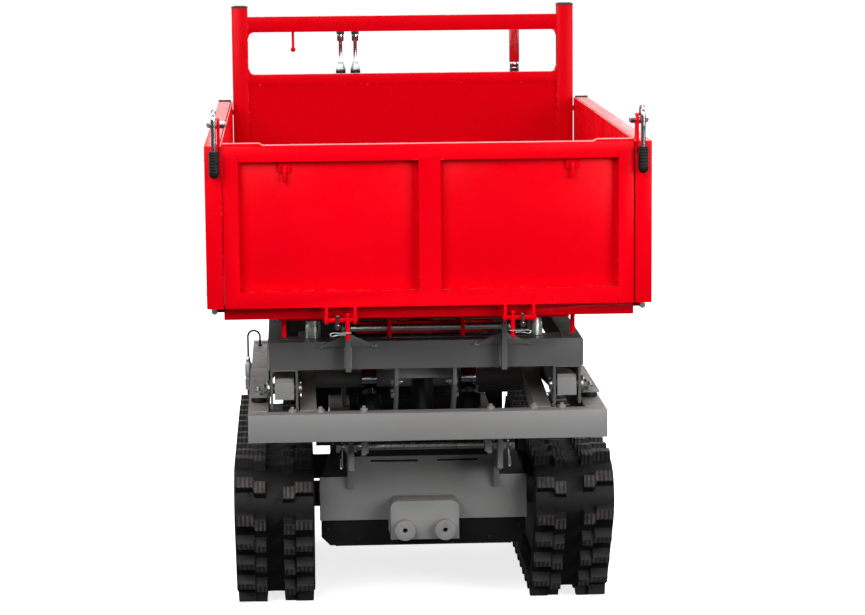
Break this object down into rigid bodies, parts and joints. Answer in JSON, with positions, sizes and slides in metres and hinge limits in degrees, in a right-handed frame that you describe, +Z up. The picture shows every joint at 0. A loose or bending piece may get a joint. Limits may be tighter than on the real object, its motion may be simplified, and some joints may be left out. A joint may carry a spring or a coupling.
{
  "type": "tracked power wheelbarrow",
  "caption": "Rubber-tracked power wheelbarrow with a drop-side tipping bed on a hydraulic scissor lift, a rear engine and walk-behind handlebars.",
  "frame": {"origin": "centre of the machine's bounding box, on the ground under the tracks", "axes": "+Z up, +Y from the tailgate towards the operator's handlebars, +X to the right of someone facing the tailgate"},
  "size_m": [0.936, 1.963, 1.335],
  "materials": {
    "grey_paint": "satin warm grey enamel over welded steel",
    "red_paint": "gloss red enamel over folded and welded steel",
    "black_paint": "satin black enamel",
    "wheel_steel": "dark cast, worn on the rims",
    "track_rubber": "matte moulded rubber",
    "soft_rubber": "soft matte rubber",
    "zinc": "bright zinc plate",
    "chrome": "polished chrome",
    "engine_alloy": "sand-cast, bead blasted",
    "black_plastic": "fine-grained moulding",
    "red_plastic": "gloss red",
    "muffler_steel": "heat-stained steel"
  },
  "bodies": {
    "chassis": {"chassis_frame": "grey_paint", "lower_frame": "grey_paint", "front_plate": "grey_paint", "tow_block": "grey_paint", "track_frames": "black_paint", "handlebars": "black_paint", "guards": "black_paint", "hydraulic_tank": "black_paint", "limit_switch": "black_paint", "track_left": "track_rubber", "track_right": "track_rubber", "hand_grips": "soft_rubber", "frame_pins": "zinc", "engine_block": "engine_alloy", "gearbox": "engine_alloy", "valve_block": "engine_alloy", "recoil_cover": "black_plastic", "air_filter": "black_plastic", "fuel_tank": "red_plastic", "muffler": "muffler_steel"},
    "inner_arms": {"inner_arms": "grey_paint", "centre_pins": "zinc"},
    "outer_arms": {"outer_arms": "grey_paint"},
    "lower_rollers": {"lower_rollers": "wheel_steel"},
    "upper_rollers": {"upper_rollers": "wheel_steel"},
    "lift_barrels": {"lift_barrels": "black_paint"},
    "lift_rods": {"lift_rods": "chrome"},
    "platform": {"platform_frame": "grey_paint", "tilt_hinge_rod": "zinc", "stop_plates": "grey_paint", "rubber_bumpers": "soft_rubber", "platform_pins": "zinc"},
    "tilt_barrel": {"tilt_barrel": "black_paint"},
    "tilt_rod": {"tilt_rod": "chrome"},
    "bed": {"bed_floor": "red_paint", "bed_subframe": "red_paint", "headboard": "red_paint", "bed_hinge_pins": "zinc"},
    "side_board_left": {"side_board_left": "red_paint"},
    "side_board_right": {"side_board_right": "red_paint"},
    "tailgate": {"tailgate_frame": "red_paint", "tailgate_sheet": "red_paint"},
    "latch_left": {"latch_lever_left": "chrome", "latch_grip_left": "soft_rubber"},
    "latch_right": {"latch_lever_right": "chrome", "latch_grip_right": "soft_rubber"},
    "sprocket_left": {"sprocket_left": "wheel_steel"},
    "sprocket_right": {"sprocket_right": "wheel_steel"},
    "idler_left": {"idler_left": "wheel_steel"},
    "idler_right": {"idler_right": "wheel_steel"},
    "road_roller_left_front": {"road_roller_left_front": "wheel_steel"},
    "road_roller_left_rear": {"road_roller_left_rear": "wheel_steel"},
    "road_roller_right_front": {"road_roller_right_front": "wheel_steel"},
    "road_roller_right_rear": {"road_roller_right_rear": "wheel_steel"},
    "lift_valve_lever": {"lift_valve_lever": "chrome"},
    "tilt_valve_lever": {"tilt_valve_lever": "chrome"},
    "gear_lever": {"gear_lever": "red_plastic"},
    "throttle_lever": {"throttle_lever": "red_plastic"},
    "clutch_lever_left": {"clutch_lever_left": "black_paint"},
    "clutch_lever_right": {"clutch_lever_right": "black_paint"}
  },
  "joints": [
    {"name": "lift", "type": "hinge", "parent": "chassis", "child": "inner_arms", "pos_m": [0, -0.7, 0.477], "axis": [1, 0, 0], "range_deg": [0, 45]},
    {"name": "scissor_centre", "type": "hinge", "parent": "inner_arms", "child": "outer_arms", "pos_m": [0, -0.27135, 0.511], "axis": [1, 0, 0], "range_deg": [-90, 0]},
    {"name": "platform_level", "type": "hinge", "parent": "outer_arms", "child": "platform", "pos_m": [0, -0.7, 0.545], "axis": [1, 0, 0], "range_deg": [0, 45]},
    {"name": "lift_barrel_swing", "type": "hinge", "parent": "chassis", "child": "lift_barrels", "pos_m": [0, -0.50158, 0.18868], "axis": [1, 0, 0], "range_deg": [0, 22.5]},
    {"name": "lift_rod_swing", "type": "hinge", "parent": "inner_arms", "child": "lift_rods", "pos_m": [0, -0.3511, 0.50467], "axis": [1, 0, 0], "range_deg": [-22.5, 0]},
    {"name": "lower_roller_spin", "type": "hinge", "parent": "outer_arms", "child": "lower_rollers", "pos_m": [0, 0.15731, 0.477], "axis": [1, 0, 0], "continuous": true},
    {"name": "upper_roller_spin", "type": "hinge", "parent": "inner_arms", "child": "upper_rollers", "pos_m": [0, 0.15731, 0.545], "axis": [1, 0, 0], "continuous": true},
    {"name": "bed_tilt", "type": "hinge", "parent": "platform", "child": "bed", "pos_m": [0, -0.75, 0.684], "axis": [1, 0, 0], "range_deg": [0, 50]},
    {"name": "tilt_barrel_swing", "type": "hinge", "parent": "platform", "child": "tilt_barrel", "pos_m": [0, -0.59102, 0.42959], "axis": [1, 0, 0], "range_deg": [0, 25]},
    {"name": "tilt_rod_swing", "type": "hinge", "parent": "bed", "child": "tilt_rod", "pos_m": [0, -0.45018, 0.69447], "axis": [1, 0, 0], "range_deg": [-25, 0]},
    {"name": "tailgate_hinge", "type": "hinge", "parent": "bed", "child": "tailgate", "pos_m": [0, -0.945, 0.731], "axis": [1, 0, 0], "range_deg": [0, 110]},
    {"name": "side_hinge_left", "type": "hinge", "parent": "bed", "child": "side_board_left", "pos_m": [-0.4535, -0.3, 0.748], "axis": [0, -1, 0], "range_deg": [0, 170]},
    {"name": "side_hinge_right", "type": "hinge", "parent": "bed", "child": "side_board_right", "pos_m": [0.4535, -0.3, 0.748], "axis": [0, 1, 0], "range_deg": [0, 170]},
    {"name": "latch_pivot_left", "type": "hinge", "parent": "side_board_left", "child": "latch_left", "pos_m": [-0.447, -0.9355, 1.145], "axis": [-1, 0, 0], "range_deg": [0, 170]},
    {"name": "latch_pivot_right", "type": "hinge", "parent": "side_board_right", "child": "latch_right", "pos_m": [0.447, -0.9355, 1.145], "axis": [-1, 0, 0], "range_deg": [0, 170]},
    {"name": "sprocket_spin_left", "type": "hinge", "parent": "chassis", "child": "sprocket_left", "pos_m": [-0.337, 0.235, 0.262], "axis": [1, 0, 0], "continuous": true},
    {"name": "idler_spin_left", "type": "hinge", "parent": "chassis", "child": "idler_left", "pos_m": [-0.337, -0.539, 0.262], "axis": [1, 0, 0], "continuous": true},
    {"name": "road_roller_spin_left_front", "type": "hinge", "parent": "chassis", "child": "road_roller_left_front", "pos_m": [-0.337, -0.424, 0.09], "axis": [1, 0, 0], "continuous": true},
    {"name": "road_roller_spin_left_rear", "type": "hinge", "parent": "chassis", "child": "road_roller_left_rear", "pos_m": [-0.337, 0.12, 0.09], "axis": [1, 0, 0], "continuous": true},
    {"name": "sprocket_spin_right", "type": "hinge", "parent": "chassis", "child": "sprocket_right", "pos_m": [0.337, 0.235, 0.262], "axis": [1, 0, 0], "continuous": true},
    {"name": "idler_spin_right", "type": "hinge", "parent": "chassis", "child": "idler_right", "pos_m": [0.337, -0.539, 0.262], "axis": [1, 0, 0], "continuous": true},
    {"name": "road_roller_spin_right_front", "type": "hinge", "parent": "chassis", "child": "road_roller_right_front", "pos_m": [0.337, -0.424, 0.09], "axis": [1, 0, 0], "continuous": true},
    {"name": "road_roller_spin_right_rear", "type": "hinge", "parent": "chassis", "child": "road_roller_right_rear", "pos_m": [0.337, 0.12, 0.09], "axis": [1, 0, 0], "continuous": true},
    {"name": "lift_valve_pivot", "type": "hinge", "parent": "chassis", "child": "lift_valve_lever", "pos_m": [-0.155, 0.55, 1.138], "axis": [1, 0, 0], "range_deg": [-12, 12], "stiffness_Nm_per_rad": 2},
    {"name": "tilt_valve_pivot", "type": "hinge", "parent": "chassis", "child": "tilt_valve_lever", "pos_m": [-0.117, 0.55, 1.138], "axis": [1, 0, 0], "range_deg": [-12, 12], "stiffness_Nm_per_rad": 2},
    {"name": "gear_lever_pivot", "type": "hinge", "parent": "chassis", "child": "gear_lever", "pos_m": [0.297, 0.55, 1.042], "axis": [1, 0, 0], "range_deg": [-12, 12]},
    {"name": "throttle_pivot", "type": "hinge", "parent": "chassis", "child": "throttle_lever", "pos_m": [-0.278, 0.55, 1.042], "axis": [1, 0, 0], "range_deg": [-15, 15]},
    {"name": "clutch_pivot_left", "type": "hinge", "parent": "chassis", "child": "clutch_lever_left", "pos_m": [-0.25, 0.82, 0.986], "axis": [1, 0, 0], "range_deg": [0, 9], "stiffness_Nm_per_rad": 3},
    {"name": "clutch_pivot_right", "type": "hinge", "parent": "chassis", "child": "clutch_lever_right", "pos_m": [0.25, 0.82, 0.986], "axis": [1, 0, 0], "range_deg": [0, 9], "stiffness_Nm_per_rad": 3}
  ],
  "couplings": [
    {"joint": "scissor_centre", "follows": "lift", "ratio": -2},
    {"joint": "platform_level", "follows": "lift", "ratio": 1},
    {"joint": "lift_barrel_swing", "follows": "lift", "ratio": 0.5},
    {"joint": "lift_rod_swing", "follows": "lift", "ratio": -0.5},
    {"joint": "tilt_barrel_swing", "follows": "bed_tilt", "ratio": 0.5},
    {"joint": "tilt_rod_swing", "follows": "bed_tilt", "ratio": -0.5},
    {"joint": "idler_spin_left", "follows": "sprocket_spin_left", "ratio": 1},
    {"joint": "road_roller_spin_left_front", "follows": "sprocket_spin_left", "ratio": 1.3},
    {"joint": "road_roller_spin_left_rear", "follows": "sprocket_spin_left", "ratio": 1.3},
    {"joint": "idler_spin_right", "follows": "sprocket_spin_right", "ratio": 1},
    {"joint": "road_roller_spin_right_front", "follows": "sprocket_spin_right", "ratio": 1.3},
    {"joint": "road_roller_spin_right_rear", "follows": "sprocket_spin_right", "ratio": 1.3}
  ]
}
